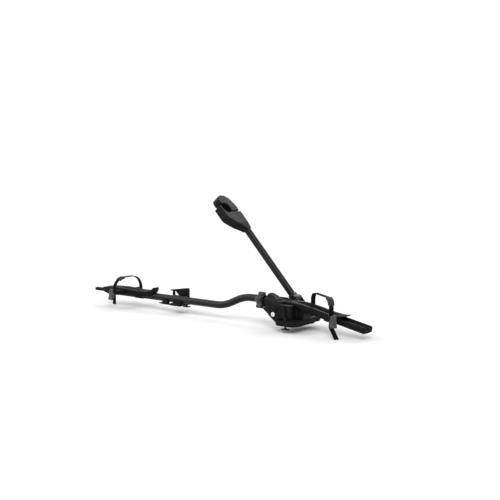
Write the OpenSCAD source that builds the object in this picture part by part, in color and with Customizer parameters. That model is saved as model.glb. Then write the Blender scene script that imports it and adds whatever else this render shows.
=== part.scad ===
// Upright roof-mounted bike carrier: a rail with two wheel trays, two feet for
// the load bars of a car, and a hinged arm whose claw holds the down tube.
// X points to the front of the bike, Y to the far side of the car and Z up.
// The origin lies on the top of the front load bar, in the bike's mid plane.

/* [Rail] */
// Reach of the rail behind the front load bar
rail_rear = 1121; // [1050:1:1200]
// Reach of the front rail ahead of the front load bar
rail_front = 329; // [300:1:360]
// Diameter of the rail tube
tube_dia = 31; // [28:0.5:32]
// Wall of the rail tube
tube_wall = 2; // [1.5:0.1:3]
// Height of the rail tube's centre above the front load bar
rail_z = 37.5; // [37:0.5:38.5]
// Bend radius of the tube ahead of the rear foot
bend_r = 150; // [130:1:170]
// Turn of each half of the S-bend
bend_a = 28; // [26:0.5:30]
// Width of the slot under the tube that the rear foot's nut runs in
slot_w = 8; // [7.6:0.1:9]
// Length of the tapered cap at the rear end
rear_cap_l = 80; // [74:1:86]
// Width of the flat front rail
front_rail_w = 62; // [56:1:66]
// Height of the flat front rail
front_rail_h = 25; // [24:0.5:26]
// Fall of the front rail towards the front
front_pitch = 11.5; // [11:0.1:12]
// Length of the front end cap
front_cap_l = 11; // [8:0.5:14]

/* [Front foot and housing] */
// Length of the front foot along the rail
foot_l = 93; // [86:1:100]
// Near edge of the front foot from the mid plane
foot_near = 96; // [94:1:104]
// Far edge of the front foot from the mid plane
foot_far = 112; // [108:1:118]
// Height of the front foot's top above the load bar
foot_top = 26; // [24:0.5:28]
// Thickness of the rubber pads on the load bars
pad_t = 4; // [3:0.5:6]
// Near face of the housing from the mid plane
house_near = 68; // [66:0.5:72]
// Far face of the housing from the mid plane
house_far = 41; // [40:0.5:44]
// Height of the housing's deck above the load bar
deck_z = 84; // [80:0.5:86]
// Thickness of the cover on the housing's near side
cover_t = 6; // [5:0.5:8]
// Radius of the lock cylinder
lock_r = 9; // [7:0.5:10]

/* [Torque knob] */
// Outer radius of the knob's lobes
knob_r = 35.5; // [33:0.5:37]
// Thickness of the knob
knob_t = 28; // [25:1:30]
// Number of lobes
knob_lobes = 5; // [5:1:6]
// Offset of the knob's axis to the near side
knob_y = 38; // [38:0.5:41]
// Radius of the spindle
spindle_r = 6; // [5:0.25:7]

/* [Arm and claw] */
// Angle of the arm above the rail
arm_angle = 47.5; // [44:0.5:60]
// Distance of the arm's fold pivot behind the front load bar
pivot_back = 50; // [47:0.5:54]
// Height of the fold pivot and of the knob's axis
pivot_z = 88; // [86:0.5:92]
// Offset of the arm to the far side
arm_y = 63; // [63:0.5:66]
// Width of the arm along the bike
arm_w = 30; // [27:0.5:32]
// Thickness of the arm across the bike
arm_t = 24; // [22:0.5:24]
// Wall of the arm tube
arm_wall = 2; // [1.5:0.1:2.5]
// Length of the arm from its pivot to the claw
arm_l = 366; // [340:1:390]
// Radius of the fold pins
fold_pin_r = 10; // [8:0.25:11]
// Width of the claw along the bike's tube
claw_w = 38; // [34:0.5:44]
// Radius of the space that the claw grips
grip_r = 21; // [19:0.25:22]
// Thickness of the claw's rubber pads
claw_pad_t = 4; // [3.5:0.25:4.5]
// Radius of the jaw's pin
jaw_pin_r = 4; // [3:0.25:4.5]

/* [Trays and straps] */
// Radius of the wheels that the trays are cut for
wheel_r = 354; // [340:1:360]
// Radius of the tyre groove
groove_r = 20; // [18:0.5:21]
// Height of the tyre above the load bars
tyre_z = 54; // [54:0.25:56]
// Axle of the front wheel ahead of the front load bar
front_axle = 158; // [154:1:162]
// Axle of the rear wheel behind the front load bar
rear_axle = 893; // [885:1:900]
// Half width of the wheel trays
tray_hw = 34; // [33:0.5:36]
// Width of the wheel straps
strap_w = 20; // [16:0.5:22]
// Thickness of the wheel straps
strap_t = 3; // [2.5:0.25:3.5]
// Length of the buckle levers
lever_l = 44; // [40:1:46]

/* [Rear foot] */
// Spread of the load bars
bar_spread = 628; // [622:1:640]
// Height of the rear load bar's top above that of the front one
rear_bar_z = 9; // [7:0.5:10]
// Length of the rear foot along the rail
rear_foot_l = 110; // [100:1:116]
// Height of the rear foot's saddle
saddle_z = 34; // [32:0.5:35]
// Radius of the T-bolts' shanks
t_bolt_r = 4; // [3:0.25:4]
// Length of the clamp handle
handle_l = 92; // [80:1:96]

/* [Fits] */
// Radial clearance of pins that turn
run_gap = 0.05; // [0.02:0.01:0.1]
// Gap between parts that slide or swing past each other
slide_gap = 0.3; // [0.25:0.05:0.5]

/* [Hidden] */
$fn = 48;

black_metal = "#26282a";
black_plastic = "#1c1d1f";
rubber = "#141516";
grey_plastic = "#55585b";
steel = "#8e9296";
cut = 0.05;

// Rail
tube_r = tube_dia/2;
tube_rear_x = -rail_rear + rear_cap_l;
socket_y = 20;
socket_z = 82;
socket_x = -86;
bend_end_x = -243;
bend_draw = 0.05;
bend_lap = 0.4;
bend_phi = atan2(socket_z - rail_z, socket_y);
bend_off = norm([socket_y, socket_z - rail_z]);
bend_mid = (bend_off - 2*bend_r*(1 - cos(bend_a)))/sin(bend_a);
bend_x = bend_end_x - 2*bend_r*sin(bend_a) - bend_mid*cos(bend_a);
front_rail_x = 30;
front_low_z = 2;
front_rail_l = (rail_front - front_rail_x)/cos(front_pitch);
function rail_low(x) = front_low_z + (rail_front - x)*tan(front_pitch);

// Housing
house_rear_x = -132;
house_front_x = 10;
drum_x = -108;
drum_r = 36;
neck_r = 16;
socket_r = 19;
corner_r = 16;
tongue_x = 46;
tongue_hw = 24;
lock_x = -67;
lock_z = 44;
ridge_x = [-64, -pivot_back + 6.5];
cover_y = -house_near;
guide_r = 11;
guide_x = [-118, -66.5];
travel_r = 8.5;
travel_l = 31;
travel_x = -111;
cable_r = 2.2;
cable_bend_r = 16;

// Knob
knob_x = house_rear_x - 2 - knob_t;
lobe_r = 9;
lobe_l = knob_t;
knob_pocket_r = 18;
knob_hub_r = knob_pocket_r + 6;
knob_pocket_l = 14;

// Arm: local X along the bike's tube, local Y across the bike, local Z along the arm
pivot = [-pivot_back, arm_y, pivot_z];
eye_r = 20;
eye_hw = 13;
cheek_gap = slide_gap;
cheek_t = arm_y - eye_hw - cheek_gap - house_far;
fork_in = arm_y - eye_hw - cheek_gap;
fork_out = arm_y + eye_hw + cheek_gap;
pin_reach = 4;
neck_l = 27;
plug_l = 34;
arm_d = arm_w/2 - arm_t/2;
arm_r = arm_t/2;
grip_y = -arm_y;
grip_z = arm_l + 114;
claw_in_r = grip_r + claw_pad_t;
jaw_pin_y = -4;
jaw_pin_z = arm_l + 59;
palm_z = arm_l + 90;
jaw_low_z = palm_z + 6;
jaw_t = 9;
crank_y = jaw_pin_y - 15;
crank_z = jaw_pin_z - 2;
crank_r = 2.5;
rod_r = 4;
rod_low = 72;
rod_top = arm_l + 20;
slot_hw = 9.5;

// Straps: frames turned about Z, near side towards local -Y
front_strap_x = front_axle - 40;
front_strap_yaw = 57.7;
front_strap_a = 86;
front_strap_top = tyre_z + 78;
front_strap_bend = 30;
front_tail_z = -22;
front_tail_lean = 50;
rear_strap_x = -rear_axle - 32;
rear_strap_yaw = -7;
rear_strap_a = 80;
rear_strap_top = tyre_z + 60;
rear_strap_bend = 56;
rear_tail_z = -5;
rear_tail_lean = 0;
rim_pad_t = 5;
rim_pad_skin = 1.5;
front_pad_arc = [98, 178];
rear_pad_arc = [92, 124];
ear_z = [38, 56];
far_ear_z = [44, 70];
ear_l = 38;
rear_ear_l = rear_strap_a - 30;
base_z = [40, 64];
base_hw = strap_w/2 + 5;
cheek_hw = base_hw + 1.5;
base_t = 8;
lever_t = 9;
lever_pin_r = 2.5;
lever_pin_z = 60;
lever_pin_out = base_t + slide_gap + lever_t/2;

// Rear foot
rear_bar_x = -bar_spread;
rear_foot_x = rear_bar_x - 77;
rear_foot_y = [-20, 58];
t_bolt_x = rear_bar_x + 12;
t_bolt_y = 46;
rear_pad_t = 3;
rear_pad_z = rear_bar_z + rear_pad_t;
rear_base_z = rear_pad_z + 5;
saddle_hw = 20;
nut_x = rear_bar_x + 13;
cam_r = 7.3;
cam_e = 1.5;
handle_pin_r = 3;
handle_pin_z = saddle_z + cam_r + cam_e + slide_gap;
handle_t = 8;
nut_hw = 8;
handle_eye_r = 7;
cam_l = 14;

// General shapes
module along_x(x0, x1) translate([x0, 0, 0]) rotate([90, 0, 90]) linear_extrude(x1 - x0) children();
module along_y(y0, y1) translate([0, y1, 0]) rotate([90, 0, 0]) linear_extrude(y1 - y0) children();
module rod_x(x0, x1, r, y = 0, z = 0) translate([x0, y, z]) rotate([0, 90, 0]) cylinder(r = r, h = x1 - x0);
module rod_y(y0, y1, r, x = 0, z = 0) translate([x, y1, z]) rotate([90, 0, 0]) cylinder(r = r, h = y1 - y0);
module rod_z(z0, z1, r, x = 0, y = 0) translate([x, y, z0]) cylinder(r = r, h = z1 - z0);
module block(lo, hi) translate(lo) cube(hi - lo);

module oval(d, r) {
    translate([-d, 0]) circle(r);
    translate([d, 0]) circle(r);
    square([2*d, 2*r], center = true);
}

module rounded(w, h, r) {
    square([w - 2*r, h], center = true);
    square([w, h - 2*r], center = true);
    for (x = [-1, 1], y = [-1, 1])
        translate([x*(w/2 - r), y*(h/2 - r)]) circle(r);
}

module in_arm() translate(pivot) rotate([0, arm_angle - 90, 0]) children();
module claw_plane(w0, w1) along_x(w0, w1) children();

module tube_profile(grow) circle(tube_r + grow);

// Straight run, S-bend in a plane that leans by bend_phi, and straight run into the housing;
// the bent lengths are drawn in a little and run into the straight ones
module tube_arc(grow, start) rotate([0, 0, start - bend_lap])
    rotate_extrude(angle = bend_a + 2*bend_lap, $fn = 96) translate([bend_r, 0])
        tube_profile(grow - bend_draw);

module tube_path(grow, over) translate([0, 0, rail_z]) {
    along_x(tube_rear_x - over, bend_x) tube_profile(grow);
    rotate([bend_phi, 0, 0]) {
        translate([bend_x, bend_r, 0]) tube_arc(grow, -90);
        translate([bend_x + bend_r*sin(bend_a), bend_r*(1 - cos(bend_a)), 0]) rotate([0, 0, bend_a])
            along_x(0, bend_mid) tube_profile(grow);
        translate([bend_end_x, bend_off - bend_r, 0]) tube_arc(grow, 90);
    }
    translate([0, socket_y, socket_z - rail_z]) along_x(bend_end_x, socket_x + over) tube_profile(grow);
}

module rail_tube() color(black_metal) difference() {
    tube_path(0, 0);
    tube_path(-tube_wall, 1);
    block([tube_rear_x + 30, -slot_w/2, 0], [bend_x - 12, slot_w/2, rail_z]);
}

nose_r = 7.2;

module rear_end_cap() color(black_plastic) {
    hull() {
        translate([0, 0, rail_z]) along_x(tube_rear_x - 1, tube_rear_x) tube_profile(0);
        translate([0, 0, rail_z + 2]) along_x(-rail_rear + 50, -rail_rear + 52) oval(4, nose_r);
    }
    translate([0, 0, rail_z + 2]) {
        along_x(-rail_rear + 2, -rail_rear + 51) oval(4, nose_r);
        along_x(-rail_rear, -rail_rear + 3) oval(4, nose_r - 2);
    }
    translate([0, 0, rail_z]) along_x(tube_rear_x, tube_rear_x + 18) difference() {
        tube_profile(-tube_wall - 0.1);
        tube_profile(-tube_wall - 3);
    }
}

// Front rail: a channel for the tyre between two hollow edges, falling to the front
module in_front_rail() translate([rail_front, 0, front_low_z]) rotate([0, front_pitch, 0]) children();

module front_rail_profile() polygon([
    [-front_rail_w/2, 4], [-front_rail_w/2 + 4, 0], [front_rail_w/2 - 4, 0], [front_rail_w/2, 4],
    [front_rail_w/2, front_rail_h - 9], [front_rail_w/2 - 4, front_rail_h],
    [front_rail_w/2 - 8, front_rail_h],
    [13, front_rail_h - 17], [-13, front_rail_h - 17], [-front_rail_w/2 + 8, front_rail_h],
    [-front_rail_w/2 + 4, front_rail_h], [-front_rail_w/2, front_rail_h - 9]]);

module front_rail_hollow() {
    for (s = [-1, 1]) polygon([[s*15.5, 2.5], [s*(front_rail_w/2 - 4.5), 2.5],
        [s*(front_rail_w/2 - 2.5), 4.5],
        [s*(front_rail_w/2 - 2.5), front_rail_h - 9.5], [s*(front_rail_w/2 - 5.4), front_rail_h - 2.6],
        [s*15.5, front_rail_h - 19.5]]);
    translate([0, 3.8]) square([24, 2.6], center = true);
}

module front_rail() color(black_metal) in_front_rail() along_x(-front_rail_l, -front_cap_l) difference() {
    front_rail_profile();
    front_rail_hollow();
}

module front_end_cap() color(black_plastic) in_front_rail() {
    along_x(-front_cap_l, -4) front_rail_profile();
    along_x(-4.1, 0) translate([0, 1.5]) scale([0.93, 0.9]) front_rail_profile();
    along_x(-front_cap_l - 14, -front_cap_l) translate([0, 3.8]) square([23.4, 2.2], center = true);
}

// Front foot on the load bar
bolt_y = [-foot_near + 12, foot_far - 14];

module front_foot() color(black_plastic) difference() {
    union() {
        translate([0, (foot_far - foot_near)/2, pad_t + 5]) linear_extrude(foot_top - pad_t - 5)
            rounded(foot_l, foot_far + foot_near, 14);
        translate([0, (foot_far - foot_near)/2, pad_t]) linear_extrude(5)
            rounded(foot_l - 6, foot_far + foot_near - 6, 11);
        // heel that carries the housing's rear
        along_y(-house_near + 8, house_far) polygon([[-foot_l/2 + 2, pad_t + 2], [-62, pad_t + 2],
            [-88, foot_top], [-foot_l/2 + 2, foot_top]]);
    }
    for (y = bolt_y) rod_z(0, foot_top + 1, t_bolt_r + 0.2, 0, y);
    for (y = [-1, 1]) block([-foot_l/2 + 12, y*34 - 22, pad_t - 1], [foot_l/2 - 12, y*34 + 22, foot_top - 4]);
}

module front_bar_pad() color(rubber) linear_extrude(pad_t)
    rounded(foot_l - 13, 132, 8);

module t_bolt(top) {
    rod_z(-6, top, t_bolt_r);
    block([-13, -10, -10], [13, 10, -6]);
}

module front_t_bolts() color(steel) for (y = bolt_y) translate([0, y, 0]) t_bolt(foot_top + 12);

module front_clamp_nuts() color(steel) for (y = bolt_y) translate([0, y, 0]) difference() {
    union() {
        rod_z(foot_top, foot_top + 1.5, 8);
        translate([0, 0, foot_top + 1.5]) cylinder(r = 7.5, h = 6.5, $fn = 6);
    }
    rod_z(foot_top - 1, foot_top + 9, t_bolt_r + run_gap);
}

// Housing: a neck and drum around the knob's spindle, the tube's socket, a block and a tongue
module housing_body() {
    hull() {
        rod_x(drum_x, drum_x + 12, drum_r, -knob_y, pivot_z);
        block([-97, -house_near + 4, foot_top + 8], [ridge_x[0], house_far, deck_z - 8]);
        block([-88, -house_near + 8, foot_top], [ridge_x[0], house_far, foot_top + 8]);
        block([-76, -house_near + 14, deck_z], [ridge_x[0], -knob_y + guide_r + 4, pivot_z + guide_r + 2]);
    }
    rod_x(house_rear_x, drum_x + 2, neck_r, -knob_y, pivot_z);
    rod_x(house_rear_x, ridge_x[0], socket_r, socket_y, socket_z);
    // rib under the neck
    along_y(-house_near + 10, -14) polygon([[house_rear_x + 2, 57], [house_rear_x + 2, 63], [-97, 69],
        [-85, 69], [-85, 30], [-92, 30]]);
    translate([0, 0, foot_top]) linear_extrude(deck_z - foot_top) {
        translate([ridge_x[0] - 20, -house_near]) square([house_front_x - corner_r - ridge_x[0] + 20,
            house_near + house_far]);
        translate([ridge_x[0], -house_near + corner_r]) square([house_front_x - ridge_x[0],
            house_near + house_far - corner_r]);
        translate([house_front_x - corner_r, -house_near + corner_r]) circle(corner_r);
    }
    block([ridge_x[0] - 1, -house_near + 10, deck_z - 1], [ridge_x[1], house_far, pivot_z + 6.5]);
    along_y(-tongue_hw, tongue_hw) polygon([[house_front_x - 5, foot_top], [tongue_x, foot_top],
        [tongue_x, rail_low(tongue_x)], [house_front_x - 5, rail_low(house_front_x - 5)]]);
}

module housing_shell() color(black_plastic) difference() {
    housing_body();
    // socket of the rail tube
    translate([0, socket_y, socket_z]) along_x(house_rear_x - 1, socket_x) tube_profile(0.1);
    // spindle's bush and guide
    rod_x(house_rear_x - 1, guide_x[0] + 1, spindle_r + 4, -knob_y, pivot_z);
    rod_x(guide_x[0], guide_x[1], guide_r, -knob_y, pivot_z);
    // room for the cable's bend and its way to the arm
    rod_x(guide_x[1] - 1, -pivot_back - 8, travel_r + 1, -knob_y, pivot_z - 6);
    block([-pivot_back - 18, -knob_y - 4, pivot_z - 4], [-pivot_back + 4, -knob_y + 20, pivot_z + 4]);
    rod_y(-knob_y + 10, house_far + 1, 4, -pivot_back, pivot_z);
    // hollow underside
    block([-62, -house_near + 6, foot_top - 1], [house_front_x - 5, house_far - 16, foot_top + 30]);
    block([house_front_x + 4, -tongue_hw + 5, foot_top - 1],
        [tongue_x - 5, tongue_hw - 5, rail_low(tongue_x) - 6]);
    // flat seat of the cover
    block([-84, -house_near - 30, foot_top - 1], [house_front_x + 1, -house_near, pivot_z + 60]);
    // lock pocket
    rod_y(cover_y - 1, cover_y + 20, lock_r + 3, lock_x, lock_z);
    // screws of the tube
    for (x = [-104, -94]) rod_y(socket_y, house_far + 1, 2.5, x, socket_z);
}

cover_pts = [[-82, 34], [-74, 28], [-14, 28], [-8, 34], [-8, 64], [-14, 76], [-22, 82], [-76, 82], [-82, 76]];
cover_screw_at = [[-15, 36], [-22, 75], [-74, 72]];

module housing_cover() color(black_plastic) difference() {
    along_y(cover_y - cover_t, cover_y) polygon(cover_pts);
    rod_y(cover_y - cover_t - 1, cover_y + 1, lock_r + run_gap, lock_x, lock_z);
    for (p = cover_screw_at) rod_y(cover_y - cover_t - 1, cover_y - 2, 4.2, p[0], p[1]);
    // grip recess
    along_y(cover_y - cover_t - 1, cover_y - cover_t + 2.5)
        translate([-34, 54]) rounded(36, 34, 12);
}

module cover_screws() color(steel) for (p = cover_screw_at) difference() {
    rod_y(cover_y - 5, cover_y - 2, 4, p[0], p[1]);
    rod_y(cover_y - 6, cover_y - 3.5, 1.6, p[0], p[1], $fn = 6);
}

module spindle_guide() color(steel) difference() {
    rod_x(guide_x[0], guide_x[1], guide_r, -knob_y, pivot_z);
    rod_x(guide_x[0] + 3, guide_x[1] + 1, travel_r + run_gap, -knob_y, pivot_z);
    rod_x(guide_x[0] - 1, guide_x[0] + 4, spindle_r + 0.5, -knob_y, pivot_z);
}

module spindle_bush() color("#b08d57") difference() {
    rod_x(house_rear_x, guide_x[0], spindle_r + 4, -knob_y, pivot_z);
    rod_x(house_rear_x - 1, guide_x[0] + 1, spindle_r + run_gap, -knob_y, pivot_z);
}

module rail_screws() color(steel) for (x = [-104, -94]) {
    rod_y(socket_y + tube_r + 0.3, house_far, 2.4, x, socket_z);
}

// Arm's fork and pins on the far side
module pivot_bracket() color(black_metal) difference() {
    union() {
        for (y = [[house_far, fork_in], [fork_out, fork_out + cheek_t]]) along_y(y[0], y[1]) {
            translate([-pivot_back, pivot_z]) circle(eye_r);
            polygon([[-foot_l/2 + 2, foot_top], [20, foot_top], [20, foot_top + 12],
                [-pivot_back + eye_r*cos(40), pivot_z + eye_r*sin(40)], [-pivot_back, pivot_z],
                [-pivot_back - eye_r*cos(10), pivot_z - eye_r*sin(10)]]);
        }
        block([-foot_l/2 + 2, house_far, foot_top], [20, fork_out + cheek_t, foot_top + 5]);
    }
    rod_y(house_far - 1, fork_out + cheek_t + 1, fold_pin_r + run_gap, -pivot_back, pivot_z);
}

module fold_pins() color(steel) {
    difference() {
        rod_y(house_far, arm_y - eye_hw + pin_reach, fold_pin_r, -pivot_back, pivot_z);
        rod_y(house_far - 1, arm_y, fold_pin_r - 5, -pivot_back, pivot_z);
    }
    rod_y(arm_y + eye_hw - pin_reach, fork_out + cheek_t, fold_pin_r, -pivot_back, pivot_z);
    rod_y(fork_out + cheek_t, fork_out + cheek_t + 4, fold_pin_r + 4, -pivot_back, pivot_z);
}

cable_end_y = arm_y - eye_hw - 1.7;

module base_cable() color(rubber) {
    x1 = -pivot_back - cable_bend_r;
    rod_x(travel_x + 24, x1, cable_r, -knob_y, pivot_z);
    translate([x1, -knob_y + cable_bend_r, pivot_z]) rotate([0, 0, -90]) rotate_extrude(angle = 90)
        translate([cable_bend_r, 0]) circle(cable_r);
    rod_y(-knob_y + cable_bend_r, cable_end_y, cable_r, -pivot_back, pivot_z);
}

// Knob and its torque clutch
module torque_knob() color(black_plastic) difference() {
    union() {
        rod_x(knob_x, knob_x + knob_t, knob_hub_r, -knob_y, pivot_z);
        along_x(knob_x + knob_t - lobe_l, knob_x + knob_t) translate([-knob_y, pivot_z])
            for (i = [0:knob_lobes - 1]) rotate(90 + i*360/knob_lobes) {
                translate([knob_r - lobe_r, 0]) circle(lobe_r);
                translate([0, -lobe_r]) square([knob_r - lobe_r, 2*lobe_r]);
            }
    }
    rod_x(knob_x - 1, knob_x + knob_t + 1, spindle_r + run_gap, -knob_y, pivot_z);
    rod_x(knob_x + knob_t - knob_pocket_l, knob_x + knob_t + 1, knob_pocket_r, -knob_y, pivot_z);
}

module knob_cap() color(grey_plastic) rod_x(knob_x - 3, knob_x, knob_hub_r - 7, -knob_y, pivot_z);

module knob_spindle() color(steel) {
    rod_x(knob_x, travel_x + 22, spindle_r, -knob_y, pivot_z);
}

module clutch_ring() color(steel) difference() {
    rod_x(knob_x + knob_t - knob_pocket_l, knob_x + knob_t - knob_pocket_l + 5, knob_pocket_r - 1.5,
        -knob_y, pivot_z);
    rod_x(knob_x, knob_x + knob_t, spindle_r + run_gap, -knob_y, pivot_z);
    for (i = [0:11]) translate([0, -knob_y, pivot_z]) rotate([i*30, 0, 0])
        block([knob_x + knob_t - knob_pocket_l + 3, -1.5, 12], [knob_x + knob_t, 1.5, knob_pocket_r]);
}

module torque_spring() color(steel) {
    x0 = knob_x + knob_t - knob_pocket_l + 5;
    for (i = [0:2]) difference() {
        rod_x(x0 + i*2.6, x0 + i*2.6 + 2.6, i == 1 ? 11 : 15, -knob_y, pivot_z);
        rod_x(x0 - 1, x0 + 12, spindle_r + run_gap, -knob_y, pivot_z);
    }
}

module spindle_traveller() color("#b08d57") difference() {
    rod_x(travel_x, travel_x + travel_l, travel_r, -knob_y, pivot_z);
    rod_x(travel_x - 1, travel_x + 23.5, spindle_r + run_gap, -knob_y, pivot_z);
    rod_x(travel_x, travel_x + travel_l + 1, cable_r + 0.4, -knob_y, pivot_z);
}

// Lock in the cover
module lock_cylinder() color("#c9cdd0") difference() {
    rod_y(cover_y - cover_t - 2.5, cover_y + 8, lock_r, lock_x, lock_z);
    block([lock_x - 0.9, cover_y - cover_t - 3, lock_z - 4],
        [lock_x + 0.9, cover_y - cover_t + 4, lock_z + 4]);
}

module lock_cam() color(steel) {
    rod_y(cover_y + 8, cover_y + 11, 5, lock_x, lock_z);
    block([lock_x - 3, cover_y + 8, lock_z], [lock_x + 3, cover_y + 11, lock_z + lock_r]);
}

// Wheel trays
module tyre_groove(x, z) translate([x, 0, z + wheel_r]) rotate([90, 0, 0]) rotate_extrude($fn = 96)
    translate([wheel_r - groove_r, 0]) circle(groove_r);

module in_strap(x, yaw) translate([x, 0, 0]) rotate([0, 0, yaw]) children();

module tray_ears(x, yaw, a, l, far_z) in_strap(x, yaw) {
    block([-base_hw, -a + strap_t + slide_gap, ear_z[0]], [base_hw, -a + l, ear_z[1]]);
    block([-base_hw, a - l, far_z[0]], [base_hw, a - strap_t - slide_gap, far_z[1]]);
}

// Room for the strap and its buckle beside an ear
module strap_room(x, yaw, a) in_strap(x, yaw) for (s = [0, 180]) rotate([0, 0, s])
    block([-cheek_hw - slide_gap, a - strap_t - slide_gap, 0], [cheek_hw + slide_gap, a + 40, tyre_z + 60]);

// Front tray: saddle on the front rail with walls beside it and a lip ahead of the tyre
tray_rise = 8;
front_tray_tip = front_axle + 80;
tray_screw_at = [-20, 22];
tray_screw_z = deck_z + 3.5;

module front_tray() color(black_plastic) difference() {
    union() {
        intersection() {
            along_y(-tray_hw, tray_hw) polygon([
                [ridge_x[1], deck_z], [house_front_x, deck_z],
                [house_front_x, rail_low(house_front_x) + tray_rise],
                [front_axle + 30, rail_low(front_axle + 30) + tray_rise],
                [front_axle + 46, tyre_z - 2], [front_tray_tip - 1, tyre_z + 5],
                [front_tray_tip, tyre_z + 10], [front_tray_tip - 14, tyre_z + 7],
                [front_axle + 40, tyre_z + 6], [front_axle + 8, tyre_z + 9.5], [front_axle - 59, tyre_z + 24],
                [front_axle - 116, tyre_z + 35], [front_axle - 160, tyre_z + 38], [ridge_x[1], tyre_z + 39]]);
            linear_extrude(200) polygon([[ridge_x[1] - 1, -tray_hw], [front_axle + 40, -tray_hw],
                [front_tray_tip + 1, -20], [front_tray_tip + 1, 20], [front_axle + 40, tray_hw],
                [ridge_x[1] - 1, tray_hw]]);
        }
        tray_ears(front_strap_x, front_strap_yaw, front_strap_a, ear_l, far_ear_z);
    }
    tyre_groove(front_axle, tyre_z);
    strap_room(front_strap_x, front_strap_yaw, front_strap_a);
    in_front_rail() along_x(-front_rail_l - slide_gap, 0) front_rail_profile();
    in_strap(front_strap_x, front_strap_yaw)
        rod_y(front_strap_a - ear_l, front_strap_a, 2.6, 0, 48);
    for (y = [-1, 1]) rod_z(tray_screw_z, tyre_z + 60, 4.2, tray_screw_at[0], y*tray_screw_at[1]);
}

module tray_screws() color(steel) for (y = [-1, 1]) difference() {
    rod_z(tray_screw_z, tray_screw_z + 3.5, 4, tray_screw_at[0], y*tray_screw_at[1]);
    rod_z(tray_screw_z + 1.5, tray_screw_z + 5, 1.6, tray_screw_at[0], y*tray_screw_at[1], $fn = 6);
}

rear_tray_x = [-rear_axle - 170, -rear_axle + 144];
saddle_low = rail_z + 1;
rear_tyre_z = tyre_z + 2;

module rear_tray() color(black_plastic) difference() {
    union() {
        intersection() {
            along_y(-tray_hw, tray_hw) polygon([
                [rear_tray_x[0], saddle_low + 3], [rear_tray_x[0], tyre_z - 4],
                [rear_tray_x[0] + 14, tyre_z + 3], [-rear_axle - 120, tyre_z + 6],
                [-rear_axle - 53, tyre_z + 8],
                [-rear_axle + 35, tyre_z + 4], [rear_tray_x[1] - 46, tyre_z + 4],
                [rear_tray_x[1] - 22, tyre_z + 11], [rear_tray_x[1] - 9, tyre_z + 24],
                [rear_tray_x[1], tyre_z + 24],
                [rear_tray_x[1] - 6, tyre_z + 6], [rear_tray_x[1] - 22, saddle_low + 6],
                [rear_tray_x[1] - 50, saddle_low], [rear_tray_x[0] + 40, saddle_low]]);
            linear_extrude(200) polygon([[rear_tray_x[0] - 1, -22], [rear_tray_x[0] + 50, -tray_hw],
                [rear_tray_x[1] - 70, -tray_hw], [rear_tray_x[1] + 1, -14], [rear_tray_x[1] + 1, 14],
                [rear_tray_x[1] - 70, tray_hw], [rear_tray_x[0] + 50, tray_hw], [rear_tray_x[0] - 1, 22]]);
        }
        tray_ears(rear_strap_x, rear_strap_yaw, rear_strap_a, rear_ear_l, ear_z);
    }
    tyre_groove(-rear_axle, rear_tyre_z);
    strap_room(rear_strap_x, rear_strap_yaw, rear_strap_a);
    translate([0, 0, rail_z]) along_x(rear_tray_x[0] - 1, rear_tray_x[1] + 1) tube_profile(slide_gap);
    block([rear_tray_x[0] - 1, -tube_r - slide_gap, 0], [rear_tray_x[1] + 1, tube_r + slide_gap, rail_z]);
    in_strap(rear_strap_x, rear_strap_yaw)
        rod_y(rear_strap_a - rear_ear_l, rear_strap_a, 2.6, 0, 48);
}

keeper_x = [-rear_axle + 20, -rear_axle + 62];
keeper_hw = 26;
keeper_z = saddle_low - 5;
keeper_wall = 1.8;
keeper_screw_y = 21.6;

module tray_keeper() color(black_plastic) difference() {
    union() {
        block([keeper_x[0], -keeper_hw, keeper_z], [keeper_x[1], keeper_hw, saddle_low]);
        intersection() {
            translate([0, 0, rail_z]) along_x(keeper_x[0], keeper_x[1]) tube_profile(slide_gap + keeper_wall);
            block([keeper_x[0], -keeper_hw, 0], [keeper_x[1], keeper_hw, saddle_low]);
        }
    }
    translate([0, 0, rail_z]) along_x(keeper_x[0] - 1, keeper_x[1] + 1) tube_profile(slide_gap);
    for (x = [keeper_x[0] + 12, keeper_x[1] - 12], y = [-1, 1])
        rod_z(keeper_z - 1, keeper_z + 3, 3.1, x, y*keeper_screw_y);
}

module keeper_screws() color(steel)
    for (x = [keeper_x[0] + 12, keeper_x[1] - 12], y = [-1, 1]) difference() {
        rod_z(keeper_z, keeper_z + 3, 2.9, x, y*keeper_screw_y);
        rod_z(keeper_z - 1, keeper_z + 1.5, 1.6, x, y*keeper_screw_y, $fn = 6);
    }

// Wheel straps: an arch over the rim with a tail that hangs below the near buckle
module strap_arch(a, top, bend) {
    c = top - bend;
    translate([0, strap_w/2, 0]) rotate([90, 0, 0]) linear_extrude(strap_w) {
        for (s = [-1, 1]) {
            translate([s*(a - strap_t/2), (base_z[0] + c)/2]) square([strap_t, c - base_z[0]], center = true);
            translate([s*(a - bend), c]) intersection() {
                difference() {
                    circle(bend);
                    circle(bend - strap_t);
                }
                translate([s > 0 ? 0 : -bend, 0]) square(bend);
            }
        }
        translate([0, top - strap_t/2]) square([2*(a - bend), strap_t], center = true);
    }
}

module strap(x, yaw, a, top, bend, tail, lean) color(rubber) difference() {
    in_strap(x, yaw) {
        rotate([0, 0, 90]) strap_arch(a, top, bend);
        along_x(-strap_w/2, strap_w/2) polygon([[-a, base_z[0]], [-a + strap_t, base_z[0]],
            [-a + strap_t, 15], [-a + strap_t - lean, tail], [-a - lean, tail], [-a, 15]]);
    }
    in_strap(x, yaw) rod_y(a - strap_t - 1, a + 1, 2.6, 0, 48);
}

// Sleeve on the strap's near bend, thick towards the rim
function arc_step(arc, i) = arc[0] + (arc[1] - arc[0])*i/4;

module bend_sector(r0, r1, arc) intersection() {
    difference() {
        circle(r1);
        circle(r0);
    }
    polygon([[0, 0], for (i = [0:4]) 2*r1*[cos(arc_step(arc, i)), sin(arc_step(arc, i))]]);
}

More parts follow.
